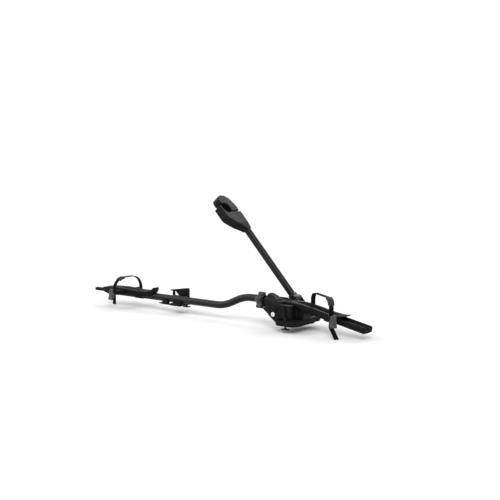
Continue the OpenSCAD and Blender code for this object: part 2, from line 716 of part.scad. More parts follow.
module rim_pad(x, yaw, a, top, bend, arc) color(rubber) in_strap(x, yaw) translate([0, -a + bend, top - bend])
    difference() {
        along_x(-strap_w/2 - 3, strap_w/2 + 3)
            bend_sector(bend - strap_t - rim_pad_t, bend + rim_pad_skin, arc);
        along_x(-strap_w/2, strap_w/2) bend_sector(bend - strap_t, bend, [arc[0] - 10, arc[1] + 10]);
    }

module strap_screw(x, yaw, a) color(steel) in_strap(x, yaw) {
    rod_y(a - strap_t - 14, a, 2.5, 0, 48);
    rod_y(a, a + 2.5, 5, 0, 48);
}

module buckle_base(x, yaw, a) color(black_plastic) in_strap(x, yaw) difference() {
    union() {
        block([-base_hw, -a - base_t, base_z[0]], [base_hw, -a + strap_t + slide_gap, base_z[1]]);
        for (s = [-1, 1]) block([s*base_hw - 1.5, -a - base_t - lever_t - 1, base_z[1] - 13],
            [s*base_hw + 1.5, -a - base_t + 1, base_z[1]]);
    }
    block([-strap_w/2 - slide_gap, -a - slide_gap, base_z[0] - 1],
        [strap_w/2 + slide_gap, -a + strap_t + slide_gap + 1, base_z[1] + 1]);
    rod_x(-base_hw - 3, base_hw + 3, lever_pin_r, -a - lever_pin_out, lever_pin_z);
}

module lever_pin(x, yaw, a) color(steel) in_strap(x, yaw)
    rod_x(-base_hw - 1.5, base_hw + 1.5, lever_pin_r, -a - lever_pin_out, lever_pin_z);

lever_hw = base_hw - 1.5 - slide_gap;

module buckle_lever(x, yaw, a) color(grey_plastic) in_strap(x, yaw) difference() {
    union() {
        rod_x(-lever_hw, lever_hw, lever_t/2, -a - lever_pin_out, lever_pin_z);
        along_x(-lever_hw, lever_hw) translate([-a - lever_pin_out, lever_pin_z]) polygon([
            [-lever_t/2, 0], [lever_t/2, 0], [lever_t/2, -base_z[1] + base_z[0]],
            [lever_t/2 - 3, -lever_l + 8], [-lever_t/2 - 4, -lever_l], [-lever_t/2 - 8, -lever_l + 4],
            [-lever_t/2 - 3, -lever_l + 16]]);
    }
    rod_x(-base_hw, base_hw, lever_pin_r + run_gap, -a - lever_pin_out, lever_pin_z);
}

module front_strap() strap(front_strap_x, front_strap_yaw, front_strap_a, front_strap_top, front_strap_bend,
    front_tail_z, front_tail_lean);
module front_rim_pad() rim_pad(front_strap_x, front_strap_yaw, front_strap_a, front_strap_top,
    front_strap_bend, front_pad_arc);
module front_strap_screw() strap_screw(front_strap_x, front_strap_yaw, front_strap_a);
module front_buckle_base() buckle_base(front_strap_x, front_strap_yaw, front_strap_a);
module front_lever_pin() lever_pin(front_strap_x, front_strap_yaw, front_strap_a);
module front_buckle_lever() buckle_lever(front_strap_x, front_strap_yaw, front_strap_a);
module rear_strap() strap(rear_strap_x, rear_strap_yaw, rear_strap_a, rear_strap_top, rear_strap_bend,
    rear_tail_z, rear_tail_lean);
module rear_rim_pad() rim_pad(rear_strap_x, rear_strap_yaw, rear_strap_a, rear_strap_top,
    rear_strap_bend, rear_pad_arc);
module rear_strap_screw() strap_screw(rear_strap_x, rear_strap_yaw, rear_strap_a);
module rear_buckle_base() buckle_base(rear_strap_x, rear_strap_yaw, rear_strap_a);
module rear_lever_pin() lever_pin(rear_strap_x, rear_strap_yaw, rear_strap_a);
module rear_buckle_lever() buckle_lever(rear_strap_x, rear_strap_yaw, rear_strap_a);

// Arm
module arm_profile(grow) rotate(90) oval(arm_d, arm_r + grow);

module arm_run(z0, z1) translate([0, 0, z0]) linear_extrude(z1 - z0) rotate(-90) children();

module arm_eye() color(black_metal) in_arm() difference() {
    union() {
        rod_y(-eye_hw, eye_hw, eye_r);
        block([-arm_w/2, -arm_r, 0], [arm_w/2, arm_r, neck_l]);
        arm_run(neck_l, neck_l + plug_l) arm_profile(-arm_wall - 0.1);
    }
    rod_y(-eye_hw - 1, eye_hw + 1, fold_pin_r + run_gap);
    rod_z(0, neck_l + plug_l + 1, 4.5);
}

module arm_tube() color(black_metal) in_arm() arm_run(neck_l, arm_l) difference() {
    arm_profile(0);
    arm_profile(-arm_wall);
}

module claw_outline() difference() {
    polygon([[eye_hw, arm_l], [eye_hw, palm_z], [grip_y, palm_z],
        [grip_y - claw_in_r, grip_z], [grip_y - claw_in_r, grip_z + 12],
        [grip_y - claw_in_r - 3, grip_z + 17], [grip_y - claw_in_r - 8, grip_z + 14],
        [grip_y - claw_in_r - 8, grip_z - 38], [grip_y - claw_in_r - 3, grip_z - 52],
        [grip_y + 6, arm_l + 32], [-arm_r - 15, arm_l + 12], [-arm_r - 4, arm_l]]);
    translate([grip_y, grip_z]) circle(claw_in_r);
}

module claw_body() color(black_plastic) in_arm() difference() {
    union() {
        intersection() {
            claw_plane(-claw_w/2, claw_w/2) claw_outline();
            along_y(grip_y - 60, 60) polygon([[-arm_w/2, arm_l], [arm_w/2, arm_l], [claw_w/2, arm_l + 30],
                [claw_w/2, grip_z + 60], [-claw_w/2, grip_z + 60], [-claw_w/2, arm_l + 30]]);
        }
        arm_run(arm_l - plug_l, arm_l) arm_profile(-arm_wall - 0.1);
    }
    rod_z(arm_l - plug_l - 1, arm_l + 12, rod_r + 0.4);
    // room for the pull rod, the jaw's root and its crank
    claw_plane(-slot_hw, slot_hw) polygon([[-8, arm_l + 6], [9, arm_l + 6], [9, arm_l + 38],
        [eye_hw + 1, arm_l + 38], [eye_hw + 1, palm_z + 1], [-34, palm_z + 1], [-34, arm_l + 34],
        [-10, arm_l + 14]]);
    rod_x(-claw_w, claw_w, jaw_pin_r, jaw_pin_y, jaw_pin_z);
}

module grip_sector(a0, a1) translate([grip_y, grip_z]) intersection() {
    difference() {
        circle(claw_in_r);
        circle(grip_r);
    }
    polygon([[0, 0], for (i = [0:4]) 2*claw_in_r*[cos(a0 + (a1 - a0)*i/4), sin(a0 + (a1 - a0)*i/4)]]);
}

module near_jaw_pad() color(rubber) in_arm() claw_plane(-claw_w/2 + 3, claw_w/2 - 3) grip_sector(-178, -78);

module jaw_pin() color(steel) in_arm() rod_x(-claw_w/2, claw_w/2, jaw_pin_r, jaw_pin_y, jaw_pin_z);

module arm_cable() color(rubber) in_arm() {
    rod_y(cable_end_y - arm_y + slide_gap, -9, cable_r);
    translate([0, -9, 9]) rotate([90, 0, 90]) rotate([0, 0, -90]) rotate_extrude(angle = 90)
        translate([9, 0]) circle(cable_r);
    rod_z(9, rod_low + 8, cable_r);
}

// Moving jaw: root on the jaw pin, hook over the tube and a crank for the pull rod
module far_jaw() color(black_plastic) in_arm() difference() {
    union() {
        claw_plane(-claw_w/2, claw_w/2) difference() {
            polygon([[9, jaw_low_z], [7, grip_z + 10], [-6, grip_z + 46], [-26, grip_z + 63],
                [-52, grip_z + 67], [-70, grip_z + 60], [-78, grip_z + 46], [-78, grip_z + 32],
                [-72, grip_z + 20], [-50, grip_z], [-41, grip_z - 12], [-36, jaw_low_z]]);
            translate([grip_y, grip_z]) circle(claw_in_r);
        }
        claw_plane(-jaw_t, 0) {
            translate([jaw_pin_y, jaw_pin_z]) circle(12);
            translate([jaw_pin_y - 12, jaw_pin_z]) square([24, jaw_low_z - jaw_pin_z + 4]);
            translate([crank_y, crank_z]) circle(6);
            translate([crank_y, crank_z - 6]) square([jaw_pin_y - crank_y, 12]);
        }
        rod_x(-jaw_t, 7.5, crank_r, crank_y, crank_z);
    }
    rod_x(-claw_w, claw_w, jaw_pin_r + run_gap, jaw_pin_y, jaw_pin_z);
}

module far_jaw_pad() color(rubber) in_arm() claw_plane(-claw_w/2 + 3, claw_w/2 - 3) grip_sector(-24, 108);

module pull_rod() color(steel) in_arm() difference() {
    union() {
        rod_z(rod_low, rod_top, rod_r);
        claw_plane(0.8, 6.8) polygon([[-rod_r, rod_top - 12], [rod_r, rod_top - 12], [rod_r, rod_top + 2],
            [jaw_pin_y - 5.5, crank_z - 14], [jaw_pin_y - 5.5, crank_z + 9], [crank_y - 7, crank_z + 9],
            [crank_y - 7, crank_z - 14]]);
    }
    block([0, crank_y - crank_r - 1, crank_z - crank_r - 0.9],
        [8, crank_y + crank_r + 5.2, crank_z + crank_r + 0.9]);
    rod_z(rod_low - 1, rod_low + 24, cable_r + 0.4);
}

// Rear foot: a base under the clamp's cam and the tube, and a near rail with a slot above it
foot_back_x = rear_bar_x - 40;
slot_x = [rear_bar_x - 43, rear_bar_x - 12];
near_rail_y = -6;

module rear_foot() color(black_plastic) difference() {
    union() {
        block([rear_foot_x - 18, rear_foot_y[0], rear_pad_z],
            [rear_foot_x + rear_foot_l, near_rail_y, rear_base_z]);
        block([foot_back_x, rear_foot_y[0], rear_pad_z],
            [rear_foot_x + rear_foot_l, rear_foot_y[1], rear_base_z]);
        block([rear_foot_x, rear_foot_y[0], rear_base_z - 1], [slot_x[0], near_rail_y, saddle_z]);
        block([slot_x[1], -saddle_hw, rear_base_z - 1],
            [rear_foot_x + rear_foot_l, saddle_hw, saddle_z]);
        block([rear_foot_x + 66, t_bolt_y - 12, rear_base_z - 1],
            [rear_foot_x + rear_foot_l, rear_foot_y[1], saddle_z]);
    }
    translate([0, 0, rail_z]) along_x(rear_foot_x - 40, rear_foot_x + rear_foot_l + 1)
        tube_profile(slide_gap);
    rod_z(0, saddle_z + 1, t_bolt_r + 0.2, t_bolt_x, t_bolt_y);
    rod_z(0, saddle_z, slot_w/2 - 0.3, nut_x, 0);
    // sloped ends
    along_y(rear_foot_y[0] - 1, rear_foot_y[1] + 1) {
        polygon([[rear_foot_x - 19, rear_pad_z - 1], [rear_foot_x + 20, rear_pad_z - 1],
            [rear_foot_x - 19, rear_pad_z + 3]]);
        polygon([[rear_foot_x - 1, rear_base_z + 4], [rear_foot_x + 16, saddle_z + 1],
            [rear_foot_x - 1, saddle_z + 1]]);
        polygon([[rear_foot_x + rear_foot_l + 1, rear_pad_z - 1],
            [rear_foot_x + rear_foot_l - 12, rear_pad_z - 1],
            [rear_foot_x + rear_foot_l + 1, rear_pad_z + 3]]);
    }
}

module rear_bar_pad() color(rubber) difference() {
    translate([rear_bar_x - 4, (rear_foot_y[0] + rear_foot_y[1])/2, rear_bar_z])
        linear_extrude(rear_pad_t) rounded(60, rear_foot_y[1] - rear_foot_y[0] - 6, 8);
    rod_z(rear_bar_z - 1, rear_pad_z + 1, t_bolt_r + 1, t_bolt_x, t_bolt_y);
}

module rail_nut() color(steel) {
    z0 = rail_z - sqrt(pow(tube_r - tube_wall, 2) - pow(nut_hw, 2)) + slide_gap;
    block([nut_x - 18, -nut_hw, z0], [nut_x + 18, nut_hw, z0 + 4]);
    rod_z(rear_pad_z + 2, z0, slot_w/2 - 0.4, nut_x, 0);
}

module rear_t_bolt() color(steel) difference() {
    translate([t_bolt_x, t_bolt_y, 0]) {
        translate([0, 0, rear_bar_z]) t_bolt(handle_pin_z - rear_bar_z);
        rod_x(-t_bolt_r, t_bolt_r, handle_eye_r, 0, handle_pin_z);
    }
    rod_x(t_bolt_x - 10, t_bolt_x + 10, handle_pin_r, t_bolt_y, handle_pin_z);
}

module handle_pin() color(steel)
    rod_x(t_bolt_x - cam_l, t_bolt_x + cam_l, handle_pin_r, t_bolt_y, handle_pin_z);

// Upright flag with a finger window, on an eccentric drum that presses on the foot
module clamp_handle() color(black_plastic) translate([t_bolt_x, t_bolt_y, handle_pin_z]) difference() {
    union() {
        rod_x(-cam_l, cam_l, cam_r, 0, -cam_e);
        along_y(-handle_t/2, handle_t/2) difference() {
            polygon([[-handle_l, 21], [-handle_l, 25], [8, 41], [cam_l, 37], [cam_l, 0], [-cam_l, 0],
                [-handle_l + 14, -3], [-handle_l + 14, 22]]);
            polygon([[-handle_l + 24, 2.5], [-handle_l + 24, 21], [-handle_l + 31, 22],
                [-handle_l + 52, 2.5]]);
        }
    }
    rod_x(-2*cam_l, 2*cam_l, handle_pin_r + run_gap);
    block([-t_bolt_r - 0.5, -3*cam_l, -3*cam_l], [t_bolt_r + 0.5, 3*cam_l, handle_eye_r + 0.8]);
}

rail_tube();
rear_end_cap();
front_rail();
front_end_cap();
front_foot();
front_bar_pad();
front_t_bolts();
front_clamp_nuts();
housing_shell();
housing_cover();
cover_screws();
spindle_guide();
spindle_bush();
rail_screws();
front_tray();
tray_screws();
pivot_bracket();
fold_pins();
base_cable();
torque_knob();
knob_cap();
knob_spindle();
torque_spring();
clutch_ring();
spindle_traveller();
lock_cylinder();
lock_cam();
front_strap();
front_rim_pad();
front_strap_screw();
front_buckle_base();
front_lever_pin();
front_buckle_lever();
arm_eye();
arm_tube();
claw_body();
near_jaw_pad();
jaw_pin();
arm_cable();
far_jaw();
far_jaw_pad();
pull_rod();
rear_tray();
tray_keeper();
keeper_screws();
rear_strap();
rear_rim_pad();
rear_strap_screw();
rear_buckle_base();
rear_lever_pin();
rear_buckle_lever();
rear_foot();
rear_bar_pad();
rail_nut();
rear_t_bolt();
handle_pin();
clamp_handle();
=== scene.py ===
"""Looks of an upright roof-mounted bike carrier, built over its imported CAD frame."""

import logging
import math
from dataclasses import dataclass, field
from enum import Enum
from typing import Any, Iterable, Sequence

import bmesh
import bpy
from mathutils import Matrix, Vector


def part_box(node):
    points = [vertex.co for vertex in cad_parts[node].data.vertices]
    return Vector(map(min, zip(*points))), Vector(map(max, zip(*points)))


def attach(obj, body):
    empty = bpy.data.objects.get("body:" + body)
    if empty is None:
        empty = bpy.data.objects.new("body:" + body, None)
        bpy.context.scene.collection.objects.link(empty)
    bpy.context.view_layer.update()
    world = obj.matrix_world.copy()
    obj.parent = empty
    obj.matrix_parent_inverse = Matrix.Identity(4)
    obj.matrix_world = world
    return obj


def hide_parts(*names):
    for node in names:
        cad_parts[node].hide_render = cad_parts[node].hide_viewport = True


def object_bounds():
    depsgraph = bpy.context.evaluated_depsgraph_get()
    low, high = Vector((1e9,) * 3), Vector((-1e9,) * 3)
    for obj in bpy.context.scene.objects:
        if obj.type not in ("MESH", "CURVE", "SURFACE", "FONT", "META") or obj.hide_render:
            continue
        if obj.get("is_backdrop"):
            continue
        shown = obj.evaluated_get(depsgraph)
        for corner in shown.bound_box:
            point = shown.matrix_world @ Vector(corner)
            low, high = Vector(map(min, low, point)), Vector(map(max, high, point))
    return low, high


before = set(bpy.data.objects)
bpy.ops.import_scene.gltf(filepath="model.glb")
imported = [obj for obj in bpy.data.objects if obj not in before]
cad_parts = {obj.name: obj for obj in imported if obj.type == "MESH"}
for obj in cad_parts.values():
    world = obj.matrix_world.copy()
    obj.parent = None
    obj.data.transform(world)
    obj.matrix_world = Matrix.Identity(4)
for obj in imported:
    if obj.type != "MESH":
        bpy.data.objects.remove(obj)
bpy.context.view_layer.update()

LOG = logging.getLogger("carrier")
MM = 0.001
Point2 = tuple[float, float]
Point3 = tuple[float, float, float]
# Turn between faces, in degrees, from which an edge is rounded, and the steps of its rounding.
EDGE_TURN = 32.0
EDGE_STEPS = 2
# Turn between faces, in degrees, from which shading breaks, on rounded and on bored pieces.
EDGE_SHADING = 40.0
BORE_SHADING = 60.0
# Sides of a round rod or bore.
ROD_SIDES = 48


class Grain(Enum):
    """How a surface's grain is stretched: not at all, or along x as drawing and extruding leave it."""

    EVEN = (1.0, 1.0, 1.0)
    DRAWN = (0.04, 1.0, 1.0)


def linear(hex_colour: str) -> tuple[float, float, float, float]:
    """Turns an sRGB hex value into a linear colour.

    Args:
        hex_colour: six hex digits with a leading hash.

    Returns:
        The linear red, green, blue and alpha.
    """
    parts = [int(hex_colour[i : i + 2], 16) / 255 for i in (1, 3, 5)]
    red, green, blue = (c / 12.92 if c <= 0.04045 else ((c + 0.055) / 1.055) ** 2.4 for c in parts)
    return red, green, blue, 1.0


def add_node(
    tree: bpy.types.NodeTree,
    kind: str,
    settings: dict[str, Any] | None = None,
    links: dict[str | int, bpy.types.NodeSocket] | None = None,
) -> bpy.types.Node:
    """Adds one node to a tree, with its settings and incoming links.

    Args:
        tree: the shader or geometry tree.
        kind: the node's type name.
        settings: values for the node's properties or, by name, its inputs.
        links: output sockets to link, by the name or number of the input.

    Returns:
        The new node.
    """
    node = tree.nodes.new(kind)
    for key, value in (settings or {}).items():
        if key in node.inputs:
            node.inputs[key].default_value = value
        else:
            setattr(node, key, value)
    for key, socket in (links or {}).items():
        tree.links.new(socket, node.inputs[key])
    return node


@dataclass(frozen=True)
class Finish:
    """One real surface: its colours, gloss and relief, with pattern sizes in millimetres."""

    name: str
    colour: str
    tint: str
    roughness: float
    spread: float
    grain_mm: float
    relief_mm: float
    mottle_mm: float
    grain: Grain = Grain.EVEN
    metallic: float = 0.0
    specular: float = 0.5

    def material(self) -> bpy.types.Material:
        """Returns the finish's material, made once."""
        if self.name in bpy.data.materials:
            return bpy.data.materials[self.name]
        material = bpy.data.materials.new(self.name)
        material.use_nodes = True
        tree = material.node_tree
        shader = tree.nodes["Principled BSDF"]
        shader.inputs["Metallic"].default_value = self.metallic
        shader.inputs["Specular IOR Level"].default_value = self.specular
        place = add_node(tree, "ShaderNodeTexCoord").outputs["Object"]
        run = add_node(tree, "ShaderNodeMapping", {"Scale": self.grain.value}, {"Vector": place}).outputs[0]
        cloud = add_node(
            tree,
            "ShaderNodeTexNoise",
            {"Scale": 1 / (self.mottle_mm * MM), "Detail": 4.0},
            {"Vector": place},
        ).outputs[0]
        grain = add_node(
            tree,
            "ShaderNodeTexNoise",
            {"Scale": 1 / (self.grain_mm * MM), "Detail": 2.0},
            {"Vector": run},
        ).outputs[0]
        blend = add_node(tree, "ShaderNodeMapRange", {"From Min": 0.35, "From Max": 0.7}, {"Value": cloud})
        shade = add_node(tree, "ShaderNodeMix", {"data_type": "RGBA"}, {0: blend.outputs[0]})
        shade.inputs[6].default_value = linear(self.colour)
        shade.inputs[7].default_value = linear(self.tint)
        dull, bright = self.roughness + self.spread, self.roughness - self.spread
        gloss = add_node(
            tree,
            "ShaderNodeMapRange",
            {"From Min": 0.3, "From Max": 0.7, "To Min": bright, "To Max": dull},
            {"Value": cloud},
        )
        relief = add_node(
            tree,
            "ShaderNodeBump",
            {"Strength": 0.6, "Distance": self.relief_mm * MM},
            {"Height": grain},
        )
        tree.links.new(shade.outputs[2], shader.inputs["Base Color"])
        tree.links.new(gloss.outputs[0], shader.inputs["Roughness"])
        tree.links.new(relief.outputs[0], shader.inputs["Normal"])
        return material


# Powder-coated aluminium: black, satin, with the low ripple of sprayed and baked powder.
POWDER_COAT = Finish(
    "powder_coated_aluminium", "#0e0e0f", "#131415",
    roughness=0.36, spread=0.05, grain_mm=1.6, relief_mm=0.05, mottle_mm=60, specular=0.2,
)
# The flat front rail has the same coat over an extruded face, flatter and with lines along its length.
MATT_COAT = Finish(
    "matt_coated_extrusion", "#0b0b0c", "#101011",
    roughness=0.55, spread=0.05, grain_mm=1.2, relief_mm=0.04, mottle_mm=60, grain=Grain.DRAWN, specular=0.1,
)
# Glass-filled nylon, moulded with a spark-eroded grain: black and dull, with a slight mottle.
NYLON = Finish(
    "grained_black_nylon", "#0b0b0c", "#101112",
    roughness=0.58, spread=0.07, grain_mm=0.9, relief_mm=0.06, mottle_mm=35, specular=0.1,
)
# The same nylon on the claw and the housing, with a finer polish that takes a soft highlight.
SATIN_NYLON = Finish(
    "satin_black_nylon", "#0c0c0d", "#121213",
    roughness=0.46, spread=0.06, grain_mm=1.2, relief_mm=0.04, mottle_mm=45, specular=0.13,
)
# Nylon of the knob's lobes, smoother and glossier, made paler all over as a painted highlight.
KNOB_NYLON_PAINTED_SHEEN = Finish(
    "knob_nylon_painted_sheen", "#1e1f20", "#28292b",
    roughness=0.36, spread=0.06, grain_mm=1.0, relief_mm=0.04, mottle_mm=14, specular=0.4,
)
# Acetal of the buckle levers and knob cap: dark grey, close-grained, a little waxy.
ACETAL = Finish(
    "grey_acetal", "#3b3d3f", "#454749",
    roughness=0.46, spread=0.05, grain_mm=0.8, relief_mm=0.04, mottle_mm=20, specular=0.28,
)
# Rubber of the straps' sleeves, paler than the bands: partly the sleeves' own grey, partly a painted
# highlight on the strap's bend.
SLEEVE_RUBBER_AND_SHEEN = Finish(
    "sleeve_rubber_and_painted_sheen", "#262728", "#303132",
    roughness=0.6, spread=0.06, grain_mm=0.7, relief_mm=0.06, mottle_mm=18, specular=0.2,
)
# Thermoplastic rubber of the straps' bands and the pads: near black and dull, with a faint bloom.
RUBBER = Finish(
    "moulded_rubber", "#080808", "#0e0e0f",
    roughness=0.75, spread=0.08, grain_mm=0.7, relief_mm=0.08, mottle_mm=18, specular=0.08,
)
# Zinc-plated steel of the lock's tongue and the nut under the tube: grey with a slight haze.
ZINC = Finish(
    "zinc_plated_steel", "#a9adb0", "#8f9496",
    roughness=0.34, spread=0.08, grain_mm=0.8, relief_mm=0.02, mottle_mm=6, metallic=1.0,
)
# Black-oxide steel of the screws, pins and T-bolts, dull and slightly brown.
BLACK_OXIDE = Finish(
    "black_oxide_steel", "#141313", "#1c1b1a",
    roughness=0.45, spread=0.07, grain_mm=0.6, relief_mm=0.02, mottle_mm=5, metallic=0.6,
)
# Drawn steel of the spindle, rod, guide and torque limiter inside, with fine lines along x.
DRAWN_STEEL = Finish(
    "drawn_steel", "#9a9da0", "#85888b",
    roughness=0.3, spread=0.06, grain_mm=0.5, relief_mm=0.02, mottle_mm=8, grain=Grain.DRAWN, metallic=1.0,
)
# Nickel-plated lock cylinder: the one pale, bright spot on the carrier.
NICKEL = Finish(
    "nickel_plated_lock", "#e9ebeb", "#dcdfe0",
    roughness=0.3, spread=0.05, grain_mm=0.6, relief_mm=0.01, mottle_mm=5, metallic=0.9,
)
# Plain brass of the bush and the spindle's nut.
BRASS = Finish(
    "plain_brass", "#b8934e", "#a07d3f",
    roughness=0.3, spread=0.08, grain_mm=0.6, relief_mm=0.02, mottle_mm=6, metallic=1.0,
)
# Polyethylene cable sheath.
SHEATH = Finish(
    "cable_sheath", "#1a1a1b", "#222223",
    roughness=0.5, spread=0.05, grain_mm=1.0, relief_mm=0.03, mottle_mm=12, specular=0.3,
)


def dress(finish: Finish, nodes: Iterable[str]) -> None:
    """Gives CAD nodes a finish.

    Args:
        finish: the finish.
        nodes: the nodes' names.
    """
    for name in nodes:
        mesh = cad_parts[name].data
        mesh.materials.clear()
        mesh.materials.append(finish.material())
        LOG.info("%s: %s", name, finish.name)


def add_piece(
    name: str,
    mesh: bpy.types.Mesh,
    finish: Finish,
    body: str,
    stands_for: Sequence[str] = (),
) -> bpy.types.Object:
    """Puts a finished mesh into the scene as a piece of the carrier.

    Args:
        name: the piece's name.
        mesh: its mesh, in place in the shared frame.
        finish: its finish.
        body: the CAD body that it rides on.
        stands_for: the CAD nodes that it replaces.

    Returns:
        The new object.
    """
    mesh.materials.clear()
    mesh.materials.append(finish.material())
    piece = bpy.data.objects.new(name, mesh)
    bpy.context.collection.objects.link(piece)
    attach(piece, body)
    if stands_for:
        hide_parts(*stands_for)
    LOG.info("%s: %d faces on %s", name, len(mesh.polygons), body)
    return piece


def plain_mesh(piece: bpy.types.Object) -> bpy.types.Mesh:
    """Turns an object with modifiers into a plain mesh and removes the object.

    Args:
        piece: the object.

    Returns:
        The evaluated mesh.
    """
    graph = bpy.context.evaluated_depsgraph_get()
    mesh = bpy.data.meshes.new_from_object(piece.evaluated_get(graph), depsgraph=graph)
    mesh.name = piece.name
    bpy.data.objects.remove(piece)
    return mesh


def moved(place_mm: Point3) -> Matrix:
    """Returns a move by millimetres."""
    return Matrix.Translation(Vector(place_mm) * MM)


def merged_copy(node: str) -> bpy.types.Object:
    """Copies a CAD node's mesh with its loose triangles joined into faces.

    Args:
        node: the node's name.

    Returns:
        A new object that holds the copy.
    """
    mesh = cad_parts[node].data.copy()
    shape = bmesh.new()
    shape.from_mesh(mesh)
    bmesh.ops.remove_doubles(shape, verts=shape.verts, dist=1e-5)
    bmesh.ops.dissolve_limit(shape, angle_limit=math.radians(0.5), verts=shape.verts, edges=shape.edges)
    shape.to_mesh(mesh)
    shape.free()
    for layer in [a.name for a in mesh.attributes if a.name == "custom_normal"]:
        mesh.attributes.remove(mesh.attributes[layer])
    piece = bpy.data.objects.new(node + "_copy", mesh)
    bpy.context.collection.objects.link(piece)
    return piece


def shade(mesh: bpy.types.Mesh, angle: float = 35.0) -> bpy.types.Mesh:
    """Shades a mesh smooth up to an angle between faces, in degrees."""
    mesh.shade_smooth()
    mesh.set_sharp_from_angle(angle=math.radians(angle))
    return mesh


def softened(node: str, radius_mm: float) -> bpy.types.Mesh:
    """Rounds the sharp edges of a CAD node, as a mould leaves them.

    Args:
        node: the node's name.
        radius_mm: the edge radius.

    Returns:
        The rounded mesh.
    """
    piece = merged_copy(node)
    edge = piece.modifiers.new("edge", "BEVEL")
    edge.width = radius_mm * MM
    edge.segments = EDGE_STEPS
    edge.limit_method = "ANGLE"
    edge.angle_limit = math.radians(EDGE_TURN)
    return shade(plain_mesh(piece), EDGE_SHADING)


def moulded_skin(node: str, voxel_mm: float, passes: int) -> bpy.types.Mesh:
    """Flows a CAD node's faces into each other, as on a blow-moulded or die-cast form.

    Args:
        node: the node's name.
        voxel_mm: the size of the new faces.
        passes: how often the surface is smoothed.

    Returns:
        The flowing mesh.
    """
    piece = merged_copy(node)
    cells = piece.modifiers.new("cells", "REMESH")
    cells.mode = "VOXEL"
    cells.voxel_size = voxel_mm * MM
    flow = piece.modifiers.new("flow", "SMOOTH")
    flow.factor = 0.5
    flow.iterations = passes
    mesh = plain_mesh(piece)
    mesh.shade_smooth()
    return mesh


def round_rod(name: str, start: Matrix, length_mm: float, radius_mm: float) -> bpy.types.Mesh:
    """Makes a round rod.

    Args:
        name: the mesh's name.
        start: the frame of the rod's first end, with x along the rod.
        length_mm: the rod's length.
        radius_mm: the rod's radius.

    Returns:
        The rod, closed at both ends.
    """
    middle = start @ moved((length_mm / 2, 0, 0)) @ Matrix.Rotation(math.pi / 2, 4, "Y")
    radius = radius_mm * MM
    rod = bpy.data.meshes.new(name)
    shape = bmesh.new()
    bmesh.ops.create_cone(
        shape,
        cap_ends=True,
        segments=ROD_SIDES,
        radius1=radius,
        radius2=radius,
        depth=length_mm * MM,
        matrix=middle,
    )
    shape.to_mesh(rod)
    shape.free()
    return rod


def bored(mesh: bpy.types.Mesh, start: Matrix, length_mm: float, radius_mm: float) -> bpy.types.Mesh:
    """Cuts a round bore to its true size, as a reamer does after moulding.

    Args:
        mesh: the moulded mesh, which is used up.
        start: the frame of the bore's first end, with x along the bore.
        length_mm: the bore's length.
        radius_mm: the bore's radius.

    Returns:
        The mesh with the bore in it.
    """
    tool = bpy.data.objects.new("reamer", round_rod("reamer", start, length_mm, radius_mm))
    piece = bpy.data.objects.new("bored", mesh)
    for item in (tool, piece):
        bpy.context.collection.objects.link(item)
    cut = piece.modifiers.new("bore", "BOOLEAN")
    cut.operation = "DIFFERENCE"
    cut.solver = "EXACT"
    cut.object = tool
    result = plain_mesh(piece)
    bpy.data.objects.remove(tool)
    return shade(result, BORE_SHADING)


@dataclass
class BlockRow:
    """Geometry Nodes tree that sets one small block on each point of a mesh, turned as the point says."""

    group: bpy.types.GeometryNodeTree = field(init=False)

    def __post_init__(self) -> None:
        """Builds the tree with named inputs for the block's sizes."""
        tree = bpy.data.node_groups.new("blocks_on_points", "GeometryNodeTree")
        face = tree.interface
        face.new_socket("Points", in_out="INPUT", socket_type="NodeSocketGeometry")
        for size in ("Length", "Width", "Height"):
            face.new_socket(size, in_out="INPUT", socket_type="NodeSocketFloat")
        face.new_socket("Finish", in_out="INPUT", socket_type="NodeSocketMaterial")
        face.new_socket("Blocks", in_out="OUTPUT", socket_type="NodeSocketGeometry")
        given = add_node(tree, "NodeGroupInput").outputs
        sides = {0: given["Length"], 1: given["Width"], 2: given["Height"]}
        size = add_node(tree, "ShaderNodeCombineXYZ", {}, sides)
        block = add_node(tree, "GeometryNodeMeshCube", {}, {"Size": size.outputs[0]})
        named = {"data_type": "FLOAT_VECTOR", "Name": "turn"}
        turn = add_node(tree, "GeometryNodeInputNamedAttribute", named)
        angle = add_node(tree, "FunctionNodeEulerToRotation", {}, {0: turn.outputs[0]})
        copies = add_node(
            tree,
            "GeometryNodeInstanceOnPoints",
            {},
            {"Points": given["Points"], "Instance": block.outputs["Mesh"], "Rotation": angle.outputs[0]},
        )
        real = add_node(tree, "GeometryNodeRealizeInstances", {}, {0: copies.outputs[0]})
        dressed = {"Geometry": real.outputs[0], "Material": given["Finish"]}
        done = add_node(tree, "GeometryNodeSetMaterial", {}, dressed)
        add_node(tree, "NodeGroupOutput", {}, {"Blocks": done.outputs[0]})
        self.group = tree

    def make(
        self,
        name: str,
        places: Sequence[Vector],
        turns: Sequence[Vector],
        size_mm: Point3,
        finish: Finish,
    ) -> bpy.types.Mesh:
        """Makes a row of blocks as one plain mesh.

        Args:
            name: the mesh's name.
            places: the blocks' centres.
            turns: the blocks' Euler angles.
            size_mm: length, width and height of a block.
            finish: the blocks' finish.

        Returns:
            The realised blocks.
        """
        points = bpy.data.meshes.new(name)
        points.from_pydata([tuple(p) for p in places], [], [])
        turn = points.attributes.new("turn", "FLOAT_VECTOR", "POINT")
        turn.data.foreach_set("vector", [c for t in turns for c in t])
        piece = bpy.data.objects.new(name, points)
        bpy.context.collection.objects.link(piece)
        maker = piece.modifiers.new("blocks", "NODES")
        maker.node_group = self.group
        sockets = {s.name: s.identifier for s in self.group.interface.items_tree if s.in_out == "INPUT"}
        for key, value in zip(("Length", "Width", "Height"), size_mm):
            maker[sockets[key]] = value * MM
        maker[sockets["Finish"]] = finish.material()
        return plain_mesh(piece)


def joined(name: str, meshes: Sequence[bpy.types.Mesh]) -> bpy.types.Mesh:
    """Joins several meshes into one."""
    shape = bmesh.new()
    for mesh in meshes:
        shape.from_mesh(mesh)
    whole = bpy.data.meshes.new(name)
    shape.to_mesh(whole)
    shape.free()
    return whole


